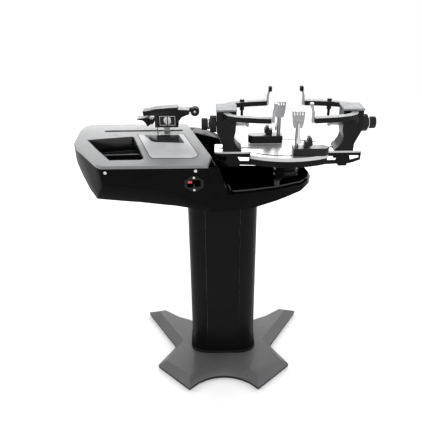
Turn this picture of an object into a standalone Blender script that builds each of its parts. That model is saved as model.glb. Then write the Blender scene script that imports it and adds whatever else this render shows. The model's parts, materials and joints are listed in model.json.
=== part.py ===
"""Racket stringing machine on a column stand: tension head, turntable, frame supports and string clamps.

Metres, +Z up, the origin on the floor under the middle of the column. The operator stands on the -Y side.
"""

import math

import bmesh
import bpy
from mathutils import Vector

GAP = 0.0003
FLOOR_MAT_TOP = 0.004
BASE_PLATE_TOP = 0.012
BASE_TOP = 0.034
COLUMN_TOP = 0.7027
COLUMN_HALF_X = 0.116
COLUMN_HALF_Y = 0.080
COLUMN_ROUND = 0.046
CORE_HALF_X = 0.058
PANEL_THICK = 0.004

COVER_Z = 0.8565
COVER_TILT = 0.105
COVER_THICK = 0.008
HULL_FRONT_Y = -0.157
TRAY_LEVEL = 0.742

SLOT_Y = 0.086
SLOT_X = (-0.391, -0.129)
PULLEY_RADIUS = 0.012

TABLE_X = 0.205
TABLE_Y = -0.020
RAIL_TOP = 0.842
RAIL_HALF_LENGTH = 0.2295
RAIL_HALF_WIDTH = 0.035
TRACK_CENTRE = 0.164
TRACK_OUTER = 0.255
TRACK_SLOT = 0.235
TRACK_HALF_ANGLE = 0.49
TRACK_BOTTOM = 0.830
KNOB_Z = 0.922
ARM_Z = (0.958, 0.972)
CLAMP_ANGLE = 0.277
SHARP_ANGLE = 0.6
ROUND = 28

# The foot's outline as arguments to star, and that of its flat top.
FOOT_OUTLINE = (
    -0.180,
    (0.123, -0.238),
    (0.244, -0.127),
    (0.182, -0.028),
    (0.311, 0.178),
    (0.25, 0.19),
    0.096,
)
PLATEAU_OUTLINE = (
    -0.142,
    (0.122, -0.196),
    (0.214, -0.121),
    (0.156, -0.012),
    (0.266, 0.164),
    (0.243, 0.172),
    0.080,
)

def clear_scene():
    for obj in list(bpy.data.objects):
        bpy.data.objects.remove(obj, do_unlink=True)


def material(name, colour, metallic, roughness):
    made = bpy.data.materials.new(name)
    made.use_nodes = True
    shader = made.node_tree.nodes["Principled BSDF"]
    shader.inputs["Base Color"].default_value = (*colour, 1.0)
    shader.inputs["Metallic"].default_value = metallic
    shader.inputs["Roughness"].default_value = roughness
    return made


def cover_plane(x, y):
    return COVER_Z + COVER_TILT * y


def below_cover(depth):
    return lambda x, y: cover_plane(x, y) - depth


def height(level, x, y):
    return level(x, y) if callable(level) else level


def add_object(name, points, faces, mat):
    """A closed mesh with its faces turned outward, shaded smooth except over sharp edges."""
    mesh = bpy.data.meshes.new(name)
    shape = bmesh.new()
    corners = [shape.verts.new(point) for point in points]
    for face in faces:
        shape.faces.new([corners[index] for index in face])
    bmesh.ops.recalc_face_normals(shape, faces=shape.faces)
    shape.to_mesh(mesh)
    shape.free()
    obj = bpy.data.objects.new(name, mesh)
    bpy.context.scene.collection.objects.link(obj)
    mesh.materials.append(mat)
    for polygon in mesh.polygons:
        polygon.use_smooth = True
    mesh.set_sharp_from_angle(angle=SHARP_ANGLE)
    return obj


def loft(name, rings, mat):
    """Rings of equally many points, joined in turn, with a cap at both ends."""
    count = len(rings[0])
    points = [point for ring in rings for point in ring]
    faces = [list(range(count)), list(range(len(points) - count, len(points)))]
    for step in range(len(rings) - 1):
        for index in range(count):
            following = (index + 1) % count
            low = step * count
            high = low + count
            faces.append([low + index, low + following, high + following, high + index])
    return add_object(name, points, faces, mat)


def prism(name, outline, bottom, top, mat):
    """An upright prism on an outline of (x, y). Its ends are heights or functions of x and y."""
    rings = [[(x, y, height(level, x, y)) for x, y in outline] for level in (bottom, top)]
    return loft(name, rings, mat)


def prism_y(name, outline, y_low, y_high, mat):
    """A prism along Y on an outline of (x, z)."""
    return loft(name, [[(x, y, z) for x, z in outline] for y in (y_low, y_high)], mat)


def prism_x(name, outline, x_low, x_high, mat):
    """A prism along X on an outline of (y, z)."""
    return loft(name, [[(x, y, z) for y, z in outline] for x in (x_low, x_high)], mat)


def box(name, low, high, mat):
    outline = [(low[0], low[1]), (high[0], low[1]), (high[0], high[1]), (low[0], high[1])]
    return prism(name, outline, low[2], high[2], mat)


def inset(outline, distance):
    """The outline moved inward by a distance, for points that run counterclockwise."""
    moved = []
    count = len(outline)
    for index, point in enumerate(outline):
        before = Vector(outline[index - 1])
        here = Vector(point)
        after = Vector(outline[(index + 1) % count])
        first = (here - before).normalized()
        second = (after - here).normalized()
        first_normal = Vector((-first.y, first.x))
        second_normal = Vector((-second.y, second.x))
        middle = (first_normal + second_normal).normalized()
        shift = distance / max(middle.dot(first_normal), 0.5)
        moved.append(tuple(here + middle * shift))
    return moved


def stepped(name, outline, steps, mat):
    """A body whose wall follows insets of one outline, as (inset, height) steps from cap to cap."""
    rings = []
    for distance, level in steps:
        ring = inset(outline, distance) if distance else outline
        rings.append([(x, y, height(level, x, y)) for x, y in ring])
    return loft(name, rings, mat)


def lathe(name, profile, centre, axis, segments, mat):
    """A turned body. The profile holds (radius, distance along the axis) and is closed on itself when
    its first radius isn't 0."""
    turn = Vector((0, 0, 1)).rotation_difference(Vector(axis)).to_matrix()
    start = Vector(centre)
    points = []
    rings = []
    for radius, along in profile:
        if radius == 0:
            rings.append([len(points)])
            points.append(tuple(start + turn @ Vector((0, 0, along))))
            continue
        ring = []
        for step in range(segments):
            angle = math.tau * step / segments
            offset = Vector((radius * math.cos(angle), radius * math.sin(angle), along))
            ring.append(len(points))
            points.append(tuple(start + turn @ offset))
        rings.append(ring)
    pairs = list(zip(rings, rings[1:]))
    if profile[0][0] != 0:
        pairs.append((rings[-1], rings[0]))
    faces = []
    for low, high in pairs:
        for step in range(segments):
            following = (step + 1) % segments
            if len(low) == 1:
                faces.append([low[0], high[following], high[step]])
            elif len(high) == 1:
                faces.append([low[step], low[following], high[0]])
            else:
                faces.append([low[step], low[following], high[following], high[step]])
    return add_object(name, points, faces, mat)


def boolean(target, other, operation):
    """Cuts or joins another body, which is then left out of the model."""
    other.hide_render = True
    other.display_type = "WIRE"
    step = target.modifiers.new(operation.title(), "BOOLEAN")
    step.operation = operation
    step.solver = "EXACT"
    step.object = other
    return target


def cut(target, *others):
    for other in others:
        boolean(target, other, "DIFFERENCE")
    return target


def join(target, *others):
    for other in others:
        boolean(target, other, "UNION")
    return target


def arc(centre, radius, start, end, steps):
    """Points on an arc, with angles counted from +X."""
    return [
        (
            centre[0] + radius * math.cos(start + (end - start) * step / steps),
            centre[1] + radius * math.sin(start + (end - start) * step / steps),
        )
        for step in range(steps + 1)
    ]


def rounded(low, high, radius, steps=4):
    """A rectangle with round corners, counterclockwise."""
    quarter = math.pi / 2
    corners = (
        (high[0] - radius, high[1] - radius, 0.0),
        (low[0] + radius, high[1] - radius, quarter),
        (low[0] + radius, low[1] + radius, 2 * quarter),
        (high[0] - radius, low[1] + radius, 3 * quarter),
    )
    outline = []
    for x, y, start in corners:
        outline += arc((x, y), radius, start, start + quarter, steps)
    return outline


def mirrored(outline):
    return [(-x, y) for x, y in reversed(outline)]


def cylinder(name, centre, axis, radius, length, mat, segments=ROUND):
    return lathe(name, [(0, 0), (radius, 0), (radius, length), (0, length)], centre, axis, segments, mat)


def star(front_apex, front_corner, side_corner, notch, tip, back_corner, back_apex):
    """The outline of the base: two arcs and four legs, the same on both sides of X = 0."""
    front = bow(front_corner, front_apex)
    back = bow(back_corner, back_apex)
    right = [side_corner, notch, tip]
    left = [(-x, y) for x, y in reversed(right)]
    return front + right + list(reversed(back)) + left


def bow(corner, apex):
    """Points on the arc through the mirrored corner, the apex on X = 0 and the corner."""
    steps = 8
    rise = apex - corner[1]
    radius = (corner[0] ** 2 + rise**2) / (2 * abs(rise))
    turn = math.copysign(1, rise)
    points = []
    for step in range(steps + 1):
        x = -corner[0] + 2 * corner[0] * step / steps
        points.append((x, apex - turn * (radius - math.sqrt(radius**2 - x**2))))
    return points


def build_base(mats):
    outer = star(*FOOT_OUTLINE)
    plateau = star(*PLATEAU_OUTLINE)
    prism("base_mat", inset(outer, 0.004), 0.0, FLOOR_MAT_TOP, mats["rubber"])
    prism("base_plate", outer, FLOOR_MAT_TOP + GAP, BASE_PLATE_TOP, mats["black_metal"])
    start = BASE_PLATE_TOP + GAP
    rings = []
    for outline, level in ((outer, start), (outer, 0.0175), (plateau, BASE_TOP)):
        rings.append([(x, y, level) for x, y in outline])
    cover = loft("base_cover", rings, mats["base_grey"])
    inner = []
    wall = inset(outer, 0.003)
    for outline, level in ((wall, start - 0.002), (wall, 0.0160), (plateau, 0.031)):
        inner.append([(x, y, level) for x, y in outline])
    cut(cover, loft("base_cover_hollow", inner, mats["base_grey"]))
    opening = column_outline(GAP * 2)
    cut(cover, prism("base_cover_opening", opening, 0.020, 0.050, mats["base_grey"]))
    ring = prism("column_gasket", column_outline(0.006), BASE_TOP + GAP, BASE_TOP + 0.010, mats["rubber"])
    cut(ring, prism("column_gasket_opening", opening, 0.020, 0.060, mats["rubber"]))


def side_curve(grow):
    """The rounded side of the column from its front seam round to its rear seam, at +X."""
    seam = CORE_HALF_X + GAP
    depth = COLUMN_HALF_Y + grow
    reach = COLUMN_HALF_X + grow
    span = reach - seam
    corner = depth - COLUMN_ROUND
    curve = []
    for step in range(7):
        angle = math.pi / 2 * step / 6
        curve.append((seam + span * math.sin(angle), -corner - COLUMN_ROUND * math.cos(angle)))
    return curve + [(x, -y) for x, y in reversed(curve)]


def column_outline(grow):
    right = side_curve(grow)
    return right + [(-x, y) for x, y in reversed(right)]


def build_column(mats):
    foot = BASE_PLATE_TOP + GAP
    outer = side_curve(0)
    inner = side_curve(-0.003)
    shell = outer + list(reversed(inner))
    prism("column_right_shell", shell, foot, COLUMN_TOP, mats["column_black"])
    prism("column_left_shell", mirrored(shell), foot, COLUMN_TOP, mats["column_black"])
    face = COLUMN_HALF_Y - PANEL_THICK
    for name, side in (("column_front_panel", -1), ("column_rear_panel", 1)):
        low = min(side * face, side * COLUMN_HALF_Y)
        high = max(side * face, side * COLUMN_HALF_Y)
        half = CORE_HALF_X - GAP
        box(name, (-half, low, foot), (half, high, COLUMN_TOP), mats["column_black"])
    reach = face - GAP
    low = (-CORE_HALF_X, -reach, foot)
    core = box("column_core", low, (CORE_HALF_X, reach, COLUMN_TOP), mats["steel"])
    wall = 0.004
    cut(
        core,
        box(
            "column_core_hollow",
            (wall - CORE_HALF_X, wall - reach, -0.1),
            (CORE_HALF_X - wall, reach - wall, 0.9),
            mats["steel"],
        ),
    )


COVER_OUTLINE = [
    (-0.363, HULL_FRONT_Y),
    (-0.044, HULL_FRONT_Y),
    (-0.033, -0.100),
    (-0.113, 0.128),
    (-0.120, 0.139),
    (-0.440, 0.143),
    (-0.458, 0.137),
    (-0.470, 0.118),
    (-0.475, 0.090),
    (-0.475, 0.000),
    (-0.466, -0.026),
    (-0.443, -0.055),
    (-0.400, -0.114),
    (-0.380, -0.142),
]
TRAY_OPENING = [
    (-0.437, 0.022),
    (-0.400, -0.036),
    (-0.342, -0.118),
    (-0.246, -0.117),
    (-0.238, -0.106),
    (-0.286, 0.038),
    (-0.294, 0.044),
    (-0.300, 0.043),
]
PANEL_OUTLINE = [
    (-0.277, 0.058),
    (-0.221, -0.096),
    (-0.211, -0.106),
    (-0.093, -0.108),
    (-0.078, -0.098),
    (-0.076, -0.083),
    (-0.125, 0.055),
    (-0.132, 0.060),
]
DISPLAY_OUTLINE = [(-0.255, 0.053), (-0.226, 0.008), (-0.213, 0.001), (-0.120, -0.007), (-0.143, 0.053)]
HULL_OUTLINE = [
    (-0.363, HULL_FRONT_Y),
    (-0.020, HULL_FRONT_Y),
    (0.030, -0.152),
    (0.087, -0.142),
    (0.166, -0.121),
    (0.249, -0.084),
    (0.278, -0.052),
    (0.289, -0.014),
    (0.282, 0.031),
    (0.262, 0.047),
    (0.072, 0.058),
    (0.040, 0.100),
    (0.000, 0.126),
    (-0.045, 0.135),
    (-0.085, 0.140),
    (-0.440, 0.143),
    (-0.458, 0.137),
    (-0.470, 0.118),
    (-0.475, 0.090),
    (-0.475, 0.000),
    (-0.466, -0.026),
    (-0.443, -0.055),
    (-0.400, -0.114),
    (-0.380, -0.142),
]
# The shoulder that runs down behind the turntable, from above and from the front.
SHOULDER_OUTLINE = [
    (0.064, 0.0560),
    (0.036, 0.0680),
    (0.010, 0.1100),
    (-0.0135, 0.0900),
    (-0.060, 0.0740),
    (-0.140, 0.1000),
    (-0.140, 0.2000),
    (0.064, 0.2000),
]
SHOULDER_PROFILE = [
    (-0.150, 0.700),
    (0.070, 0.700),
    (0.060, 0.753),
    (0.035, 0.768),
    (0.008, 0.790),
    (-0.006, 0.828),
    (-0.0135, 0.836),
    (-0.044, 0.848),
    (-0.080, 0.857),
    (-0.150, 0.860),
]
HULL_PROFILE = [
    (-0.370, 0.719),
    (-0.270, 0.710),
    (-0.190, 0.702),
    (-0.110, 0.695),
    (-0.020, 0.684),
    (0.100, 0.690),
    (0.144, 0.699),
    (0.205, 0.710),
    (0.245, 0.719),
    (0.272, 0.729),
    (0.286, 0.739),
    (0.292, 0.750),
    (0.292, 0.950),
    (-0.490, 0.950),
    (-0.476, 0.858),
    (-0.470, 0.823),
    (-0.461, 0.795),
    (-0.442, 0.762),
    (-0.418, 0.736),
    (-0.392, 0.722),
]
CAVITY_PROFILE = [
    (-0.385, 0.727),
    (-0.130, 0.727),
    (-0.120, 0.712),
    (0.130, 0.712),
    (0.190, 0.722),
    (0.240, 0.735),
    (0.262, 0.745),
    (0.262, 0.960),
    (-0.462, 0.960),
    (-0.462, 0.820),
    (-0.452, 0.795),
    (-0.432, 0.765),
    (-0.408, 0.742),
]
BAND = [
    (-0.500, 0.778, 0.719, 0.028),
    (-0.380, 0.776, 0.719, 0.028),
    (-0.260, 0.770, 0.709, 0.026),
    (-0.150, 0.750, 0.698, 0.020),
    (-0.044, 0.700, 0.686, 0.004),
]
FRONT_PANEL = [
    (-0.3705, 0.8312),
    (-0.350, 0.781),
    (-0.260, 0.774),
    (-0.150, 0.754),
    (-0.060, 0.713),
    (-0.014, 0.736),
    (-0.050, 0.8312),
]
TRAY_OUTLINE = [
    (0.040, -0.144),
    (0.086, -0.136),
    (0.165, -0.115),
    (0.245, -0.080),
    (0.272, -0.050),
    (0.283, -0.014),
    (0.277, 0.027),
    (0.259, 0.040),
    (0.034, 0.053),
    (-0.012, 0.053),
    (-0.015, 0.045),
    (0.024, -0.139),
    (0.030, -0.144),
]


def slope_cutter(shift, floor, name, mats):
    """The space over the right-hand tray, beyond the slanting end wall."""
    def wall_x(y, z):
        return -0.033 - 0.348 * (y + 0.10) + (cover_plane(0, y) - z) * 0.30 + shift

    rings = []
    for z in (floor, 1.0):
        rings.append(
            [
                (wall_x(-0.30, z), -0.30, z),
                (0.40, -0.30, z),
                (0.40, 0.30, z),
                (wall_x(0.30, z), 0.30, z),
            ]
        )
    return loft(name, rings, mats["gloss_black"])


def band_cutter(name, shift, mats):
    """The space below the slanting band that runs along the foot of the front wall."""
    rings = []
    for x, top, bottom, depth in BAND:
        slope = (top - bottom) / depth
        edge = HULL_FRONT_Y + shift
        rings.append(
            [
                (x, edge - 0.020, top + 0.020 * slope),
                (x, edge + depth + 0.010, bottom - 0.010 * slope),
                (x, edge + depth + 0.010, 0.550),
                (x, edge - 0.020, 0.550),
            ]
        )
    return loft(name, rings, mats["gloss_black"])


def build_hull(mats):
    black = mats["hull_black"]
    hull = prism("hull", HULL_OUTLINE, 0.600, below_cover(COVER_THICK + GAP), black)
    boolean(hull, prism_y("hull_side_view", HULL_PROFILE, -0.30, 0.30, black), "INTERSECT")
    shoulder = prism("hull_shoulder", SHOULDER_OUTLINE, 0.650, 0.900, black)
    boolean(shoulder, prism_y("hull_shoulder_side_view", SHOULDER_PROFILE, 0.0, 0.30, black), "INTERSECT")
    slope = slope_cutter(0, TRAY_LEVEL, "hull_slope", mats)
    cut(slope, shoulder)
    cut(hull, slope)
    cut(hull, band_cutter("hull_band", 0, mats))
    hollow = prism("hull_hollow", inset(HULL_OUTLINE, 0.007), 0.600, 0.950, black)
    boolean(hollow, prism_y("hull_hollow_side_view", CAVITY_PROFILE, -0.30, 0.30, black), "INTERSECT")
    cut(hollow, slope_cutter(-0.006, TRAY_LEVEL - 0.005, "hull_hollow_slope", mats))
    cut(hollow, band_cutter("hull_hollow_band", 0.006, mats))
    cut(hull, hollow)
    cut(hull, prism("hull_column_pocket", column_outline(0.0004), 0.600, COLUMN_TOP + GAP, black))
    recess = inset(FRONT_PANEL, -GAP)
    cut(hull, prism_y("hull_panel_recess", recess, -0.20, HULL_FRONT_Y + 0.0033, black))
    inlet = [(-0.110, 0.766), (-0.063, 0.766), (-0.063, 0.800), (-0.110, 0.800)]
    cut(hull, prism_y("hull_inlet_hole", inlet, -0.20, -0.130, black))
    cut(hull, cylinder("hull_spindle_hole", (TABLE_X, TABLE_Y, 0.725), (0, 0, 1), 0.020, 0.05, black))


def build_front_panel(mats):
    black = mats["gloss_black"]
    panel = prism_y("front_panel", FRONT_PANEL, HULL_FRONT_Y, HULL_FRONT_Y + 0.003, black)
    hole = [(-0.109, 0.767), (-0.064, 0.767), (-0.064, 0.799), (-0.109, 0.799)]
    cut(panel, prism_y("front_panel_hole", hole, -0.20, -0.130, black))
    middle = (-0.0865, 0.783)
    flange = [
        (middle[0] - 0.029, middle[1] - 0.011),
        (middle[0] - 0.010, middle[1] - 0.024),
        (middle[0] + 0.010, middle[1] - 0.024),
        (middle[0] + 0.029, middle[1] - 0.011),
        (middle[0] + 0.029, middle[1] + 0.011),
        (middle[0] + 0.010, middle[1] + 0.024),
        (middle[0] - 0.010, middle[1] + 0.024),
        (middle[0] - 0.029, middle[1] + 0.011),
    ]
    face = HULL_FRONT_Y - GAP
    inlet = prism_y("power_inlet", flange, face - 0.003, face, mats["black_plastic"])
    body = [(-0.1085, 0.7675), (-0.0645, 0.7675), (-0.0645, 0.7985), (-0.1085, 0.7985)]
    join(inlet, prism_y("power_inlet_body", body, face - 0.001, -0.118, mats["black_plastic"]))
    socket = [
        (-0.084, 0.7735),
        (-0.067, 0.7735),
        (-0.067, 0.7925),
        (-0.070, 0.7955),
        (-0.081, 0.7955),
        (-0.084, 0.7925),
    ]
    cut(inlet, prism_y("power_inlet_socket", socket, -0.20, -0.140, mats["black_plastic"]))
    well = [(-0.1065, 0.7720), (-0.0915, 0.7720), (-0.0915, 0.7940), (-0.1065, 0.7940)]
    cut(inlet, prism_y("power_inlet_well", well, -0.20, -0.1450, mats["black_plastic"]))
    for pin_x, pin_z in ((-0.0755, 0.7890), (-0.0795, 0.7800), (-0.0715, 0.7800)):
        low = (pin_x - 0.001, -0.1520, pin_z - 0.0025)
        high = (pin_x + 0.001, -0.1390, pin_z + 0.0025)
        pin = box("power_pin", low, high, mats["steel"])
        join(inlet, pin)
    rocker = [
        (-0.1490, 0.7740),
        (-0.1490, 0.7920),
        (-0.1600, 0.7930),
        (-0.1620, 0.7900),
        (-0.1596, 0.7830),
        (-0.1600, 0.7760),
        (-0.1585, 0.7732),
    ]
    prism_x("rocker_switch", rocker, -0.1055, -0.0925, mats["red_plastic"])


def build_cover(mats):
    silver = mats["cover_silver"]
    rings = []
    for distance, depth in ((0.0, COVER_THICK), (0.0, 0.0025), (0.0025, 0.0)):
        ring = inset(COVER_OUTLINE, distance) if distance else COVER_OUTLINE
        rings.append([(x, y, cover_plane(x, y) - depth) for x, y in ring])
    cover = loft("top_cover", rings, silver)
    cut(cover, prism("cover_tray_opening", TRAY_OPENING, below_cover(0.03), below_cover(-0.03), silver))
    recess = inset(PANEL_OUTLINE, -0.0008)
    cut(cover, prism("cover_panel_recess", recess, below_cover(0.0033), below_cover(-0.03), silver))
    slot = rounded((SLOT_X[0], SLOT_Y - 0.006), (SLOT_X[1], SLOT_Y + 0.006), 0.0059, 3)
    cut(cover, prism("cover_slot", slot, below_cover(0.03), below_cover(-0.03), silver))
    grey = mats["panel_grey"]
    panel = prism("control_panel", PANEL_OUTLINE, below_cover(0.0030), below_cover(0.0003), grey)
    pocket = inset(DISPLAY_OUTLINE, -GAP)
    cut(panel, prism("control_panel_pocket", pocket, below_cover(0.0018), below_cover(-0.03), silver))
    dark = mats["display_black"]
    prism("display_window", DISPLAY_OUTLINE, below_cover(0.0015), below_cover(0.0002), dark)


def build_left_tray(mats):
    black = mats["tray_black"]
    steps = (
        (0.0080, below_cover(0.0460)),
        (0.0020, below_cover(0.0116)),
        (-0.0050, below_cover(0.0116)),
        (-0.0050, below_cover(0.0085)),
        (0.0004, below_cover(0.0085)),
        (0.0004, below_cover(0.0012)),
        (0.0026, below_cover(0.0012)),
        (0.0106, below_cover(0.0435)),
    )
    tray = stepped("left_tray", TRAY_OPENING, steps, black)
    ridge_outline = [(-0.388, -0.046), (-0.389, -0.0515), (-0.258, -0.0465), (-0.2595, -0.041)]
    ridge = prism("left_tray_ridge", ridge_outline, below_cover(0.0447), below_cover(0.0180), black)
    join(tray, ridge)


def build_right_tray(mats):
    black = mats["tray_black"]
    steps = (
        (0.0012, TRAY_LEVEL + GAP),
        (0.0, TRAY_LEVEL + 0.0100),
        (0.0022, TRAY_LEVEL + 0.0100),
        (0.0050, TRAY_LEVEL + 0.0030),
    )
    tray = stepped("turntable_tray", TRAY_OUTLINE, steps, black)
    cut(tray, cylinder("turntable_tray_hole", (TABLE_X, TABLE_Y, 0.70), (0, 0, 1), 0.0455, 0.1, black))


def build_drive(mats):
    """The fixed parts of the tension drive, its screw and the carriage that the screw pulls."""
    steel = mats["steel"]
    rail_z = 0.806
    screw_z = 0.776
    floor = 0.727 + GAP
    rail = cylinder("guide_rail", (-0.4400, SLOT_Y, rail_z), (1, 0, 0), 0.006, 0.330, steel, 20)
    join(rail, box("guide_rail_left", (-0.430, 0.068, 0.7690), (-0.408, 0.104, 0.8545), steel))
    join(rail, box("guide_rail_right", (-0.134, 0.068, floor), (-0.122, 0.104, 0.820), steel))
    cut(rail, cylinder("guide_rail_bore", (-0.50, SLOT_Y, screw_z), (1, 0, 0), 0.0044, 0.45, steel, 20))
    screw = cylinder("lead_screw", (-0.430, SLOT_Y, screw_z), (1, 0, 0), 0.004, 0.314, steel, 16)
    motor_start = -0.1215
    motor = lathe(
        "tension_motor",
        [(0.0045, 0), (0.020, 0), (0.020, 0.030), (0.0045, 0.030)],
        (motor_start, SLOT_Y, screw_z),
        (1, 0, 0),
        24,
        mats["black_metal"],
    )
    foot = box("tension_motor_foot", (-0.1200, 0.071, floor), (-0.0930, 0.101, 0.760), mats["black_metal"])
    join(motor, foot)
    box("power_supply", (-0.335, -0.060, floor), (-0.225, 0.030, floor + 0.032), mats["steel"])
    box("control_board", (-0.215, -0.095, floor), (-0.120, 0.045, floor + 0.012), mats["board_green"])
    block = box("carriage", (-0.222, 0.070, 0.7665), (-0.160, 0.102, 0.8180), mats["steel"])
    post = box("carriage_post", (-0.192, SLOT_Y - 0.0045, 0.810), (-0.172, SLOT_Y + 0.0045, 0.8850), steel)
    join(block, post)
    join(block, cylinder("carriage_pin", (-0.214, SLOT_Y, 0.810), (0, 0, 1), 0.0022, 0.0750, steel, 10))
    cut(block, cylinder("carriage_rail_bore", (-0.30, SLOT_Y, rail_z), (1, 0, 0), 0.0064, 0.3, steel, 20))
    bore = cylinder("carriage_screw_bore", (-0.30, SLOT_Y, screw_z), (1, 0, 0), 0.0044, 0.3, steel, 16)
    cut(block, bore)


HEAD_OUTLINE = [
    (-0.2540, 0.9250),
    (-0.2195, 0.9250),
    (-0.2180, 0.8855),
    (-0.1430, 0.8855),
    (-0.1400, 0.9060),
    (-0.1300, 0.9190),
    (-0.1050, 0.9290),
    (-0.1050, 0.9425),
    (-0.1410, 0.9445),
    (-0.1430, 0.9520),
    (-0.1780, 0.9500),
    (-0.2160, 0.9470),
    (-0.2360, 0.9420),
    (-0.2560, 0.9400),
]
ROLLER = (-0.0870, 0.9350)
TONGUE_PIVOT = (-0.2300, 0.9045)


def build_tension_head(mats):
    black = mats["head_black"]
    front = 0.0590
    back = 0.0930
    head = prism_y("tension_head", HEAD_OUTLINE, front, back, black)
    window = [(-0.2030, 0.8920), (-0.1510, 0.8920), (-0.1510, 0.9240), (-0.2030, 0.9240)]
    cut(head, prism_y("tension_head_window", window, 0.040, front + 0.010, black))
    cheek = [
        (-0.1080, 0.9290),
        (-0.0870, 0.9265),
        (-0.0800, 0.9300),
        (-0.0785, 0.9350),
        (-0.0800, 0.9400),
        (-0.0870, 0.9435),
        (-0.1080, 0.9425),
    ]
    join(head, prism_y("tension_head_cheek", cheek, back - 0.0070, back - 0.0005, black))
    pin_start = (ROLLER[0], front + 0.001, ROLLER[1])
    join(head, cylinder("tension_head_pin", pin_start, (0, 1, 0), 0.0032, 0.031, black, 14))
    roller = [
        (0.0036, 0.0),
        (0.0135, 0.0),
        (0.0145, 0.0015),
        (0.0145, 0.0060),
        (0.0120, 0.0090),
        (0.0120, 0.0130),
        (0.0145, 0.0160),
        (0.0145, 0.0215),
        (0.0135, 0.0230),
        (0.0036, 0.0230),
    ]
    lathe("guide_roller", roller, (ROLLER[0], front + 0.0030, ROLLER[1]), (0, 1, 0), 20, mats["head_black"])
    frame_out = [(-0.2025, 0.8925), (-0.1515, 0.8925), (-0.1515, 0.9235), (-0.2025, 0.9235)]
    gripper = prism_y("string_gripper", frame_out, front - 0.0008, front + 0.0095, mats["chrome"])
    pocket = [(-0.2010, 0.8940), (-0.1530, 0.8940), (-0.1530, 0.9220), (-0.2010, 0.9220)]
    cut(gripper, prism_y("string_gripper_pocket", pocket, 0.040, front + 0.0070, mats["chrome"]))
    drum = [(0, 0), (0.0135, 0), (0.0135, 0.006), (0.0115, 0.0075), (0, 0.0075)]
    chrome = mats["chrome"]
    drum_start = (-0.1770, front + 0.0075, 0.9080)
    join(gripper, lathe("string_gripper_drum", drum, drum_start, (0, -1, 0), 20, chrome))
    groove = box("string_gripper_groove", (-0.1785, 0.040, 0.880), (-0.1755, front + 0.0035, 0.9300), chrome)
    cut(gripper, groove)
    start = math.radians(115)
    end = math.radians(-110)
    nose = arc(TONGUE_PIVOT, 0.0095, start, end, 7)
    tongue = nose + [
        (-0.2430, 0.8885),
        (-0.2500, 0.9010),
        (-0.2580, 0.9085),
        (-0.2760, 0.9115),
        (-0.2760, 0.9145),
        (-0.2400, 0.9190),
    ]
    prism_y("tongue_lever", tongue, front + 0.002, back - 0.002, mats["head_black"])


def build_spindle(mats):
    profile = [
        (0.0144, TRAY_LEVEL + GAP),
        (0.0450, TRAY_LEVEL + GAP),
        (0.0450, 0.7500),
        (0.0320, 0.7540),
        (0.0320, 0.7840),
        (0.0144, 0.7840),
    ]
    lathe("spindle_housing", profile, (TABLE_X, TABLE_Y, 0), (0, 0, 1), 32, mats["black_metal"])
    collar = [(0.0324, 0.7600), (0.0400, 0.7600), (0.0400, 0.7720), (0.0324, 0.7720)]
    lever = lathe("brake_lever", collar, (TABLE_X, TABLE_Y, 0), (0, 0, 1), 28, mats["steel"])
    arm = [
        (TABLE_X - 0.020, TABLE_Y - 0.034),
        (TABLE_X - 0.046, TABLE_Y - 0.092),
        (TABLE_X - 0.034, TABLE_Y - 0.097),
        (TABLE_X - 0.006, TABLE_Y - 0.037),
    ]
    join(lever, prism("brake_lever_arm", arm, 0.7630, 0.7690, mats["steel"]))
    grip_foot = (TABLE_X - 0.040, TABLE_Y - 0.096, 0.7580)
    join(lever, cylinder("brake_lever_grip", grip_foot, (0, 0, 1), 0.0095, 0.016, mats["steel"], 16))


def track_arc(radius, start, end, steps):
    """Points of an arc round the front track's centre, with angles counted from straight ahead."""
    return [
        (
            radius * math.sin(start + (end - start) * step / steps),
            TRACK_CENTRE - radius * math.cos(start + (end - start) * step / steps),
        )
        for step in range(steps + 1)
    ]


def band_outline(inner, outer, half_angle, steps):
    far = track_arc(outer, -half_angle, half_angle, steps)
    return far + track_arc(inner, half_angle, -half_angle, steps)


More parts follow.
